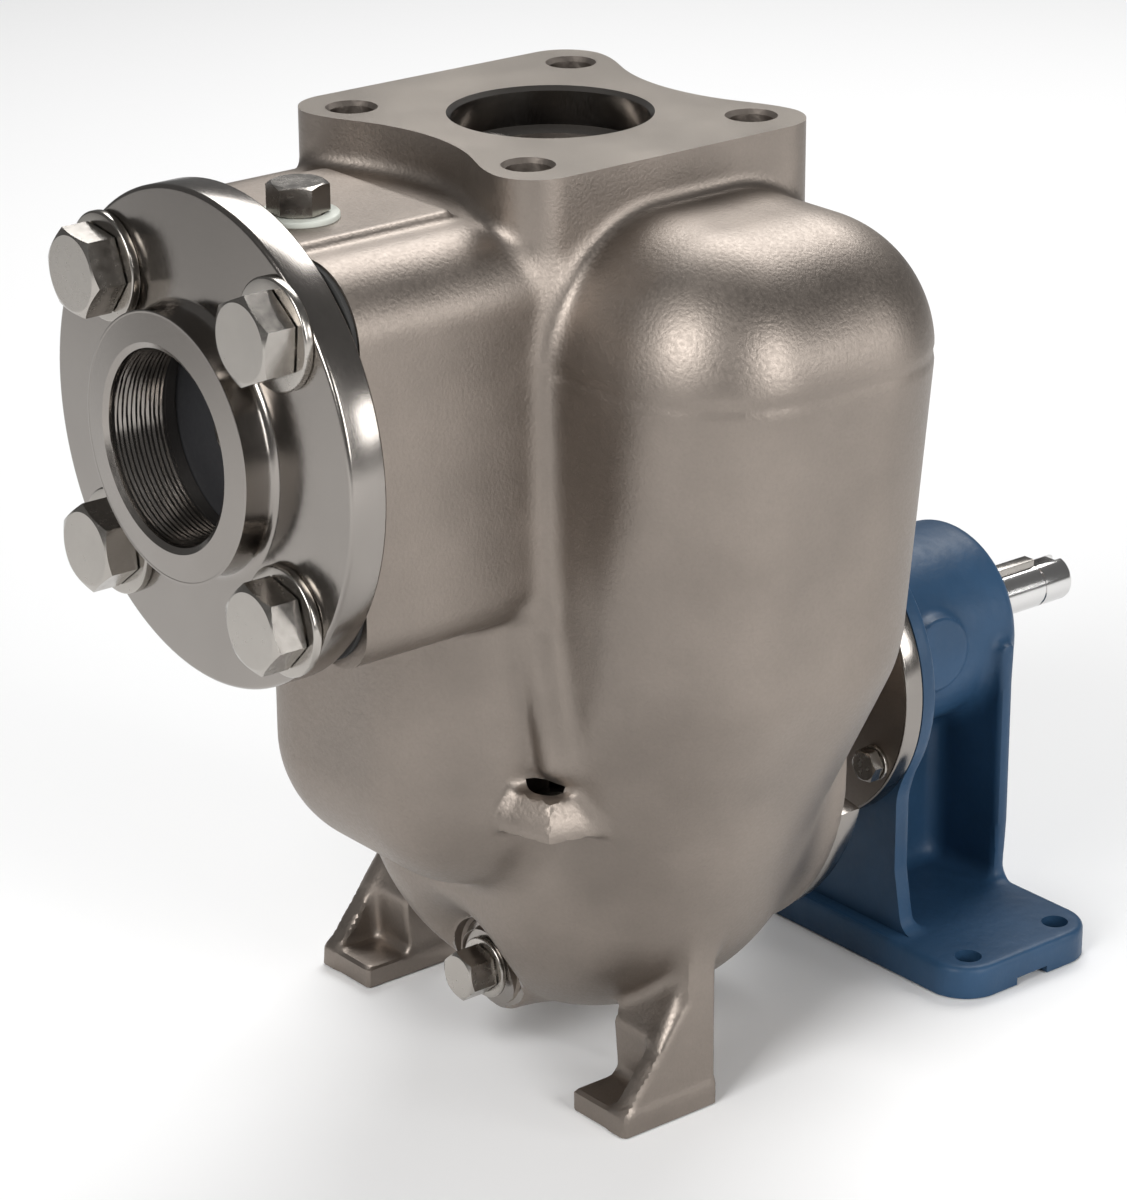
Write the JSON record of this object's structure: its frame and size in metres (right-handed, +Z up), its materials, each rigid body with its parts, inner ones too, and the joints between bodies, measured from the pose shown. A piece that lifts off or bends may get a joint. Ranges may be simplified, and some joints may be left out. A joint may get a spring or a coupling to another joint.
{
  "type": "self-priming centrifugal pump",
  "caption": "Cast self-priming centrifugal pump with a flanged threaded suction, a square flanged discharge and a bearing pedestal with a keyed drive shaft.",
  "frame": {"origin": "centre of the four pedestal base bolt holes on the underside of the base", "axes": "+Y from the suction flange to the drive end of the shaft, +Z up, +X to the right seen from the suction end; the X = 0 plane holds the suction, discharge and shaft axes"},
  "size_m": [0.2118, 0.3717, 0.303],
  "materials": {
    "cast_stainless": "bead-blasted cast stainless, satin",
    "machined_stainless": "turned, semi-bright",
    "fastener_steel": "bright stainless",
    "black_rubber": "moulded rubber",
    "gasket_sheet": "dark gasket sheet",
    "pale_gasket": "pale sealing ring",
    "ceramic": "lapped ceramic",
    "carbon": "lapped carbon",
    "blue_paint": "blue enamel over cast iron",
    "bearing_steel": "ground bearing steel",
    "cage_brass": "machined brass",
    "spring_steel": "spring wire",
    "shaft_steel": "ground shaft"
  },
  "bodies": {
    "pump": {"casing": "cast_stainless", "suction_flange": "machined_stainless", "suction_gasket": "gasket_sheet", "flange_bolts": "fastener_steel", "flange_washers": "fastener_steel", "flap_hinge_pin": "fastener_steel", "fill_plug": "fastener_steel", "fill_plug_gasket": "pale_gasket", "gauge_plug": "fastener_steel", "drain_plug": "fastener_steel", "drain_plug_washer": "fastener_steel", "adapter": "cast_stainless", "adapter_screws": "fastener_steel", "casing_o_ring": "black_rubber", "volute": "cast_stainless", "volute_o_ring": "black_rubber", "volute_screws": "fastener_steel", "seal_seat": "ceramic", "seal_seat_cup": "black_rubber", "pedestal": "blue_paint", "pedestal_bolts": "fastener_steel", "pedestal_washers": "fastener_steel", "front_lip_seal": "black_rubber", "rear_lip_seal": "black_rubber", "front_bearing_outer_ring": "bearing_steel", "rear_bearing_outer_ring": "bearing_steel", "bearing_snap_ring": "bearing_steel"},
    "rotor": {"shaft": "shaft_steel", "shaft_key": "shaft_steel", "impeller": "cast_stainless", "impeller_key": "shaft_steel", "impeller_washer": "machined_stainless", "impeller_nut": "fastener_steel", "seal_face_ring": "carbon", "seal_head": "machined_stainless", "seal_spring": "spring_steel", "slinger": "black_rubber", "front_bearing_inner_ring": "bearing_steel", "rear_bearing_inner_ring": "bearing_steel", "shaft_snap_ring": "bearing_steel"},
    "front_cage": {"front_bearing_balls": "bearing_steel", "front_bearing_cage": "cage_brass"},
    "rear_cage": {"rear_bearing_balls": "bearing_steel", "rear_bearing_cage": "cage_brass"},
    "check_valve": {"check_flap": "black_rubber", "flap_backing_plate": "machined_stainless", "flap_weight": "cast_stainless", "flap_screw": "fastener_steel"}
  },
  "joints": [
    {"name": "shaft_spin", "type": "hinge", "parent": "pump", "child": "rotor", "pos_m": [0, 0, 0.097], "axis": [0, 1, 0], "continuous": true},
    {"name": "front_cage_spin", "type": "hinge", "parent": "pump", "child": "front_cage", "pos_m": [0, -0.013, 0.097], "axis": [0, 1, 0], "continuous": true},
    {"name": "rear_cage_spin", "type": "hinge", "parent": "pump", "child": "rear_cage", "pos_m": [0, 0.026, 0.097], "axis": [0, 1, 0], "continuous": true},
    {"name": "check_flap_swing", "type": "hinge", "parent": "pump", "child": "check_valve", "pos_m": [0, -0.2502, 0.264], "axis": [1, 0, 0], "range_deg": [0, 50]}
  ],
  "couplings": [
    {"joint": "front_cage_spin", "follows": "shaft_spin", "ratio": 0.3818},
    {"joint": "rear_cage_spin", "follows": "shaft_spin", "ratio": 0.3818}
  ]
}
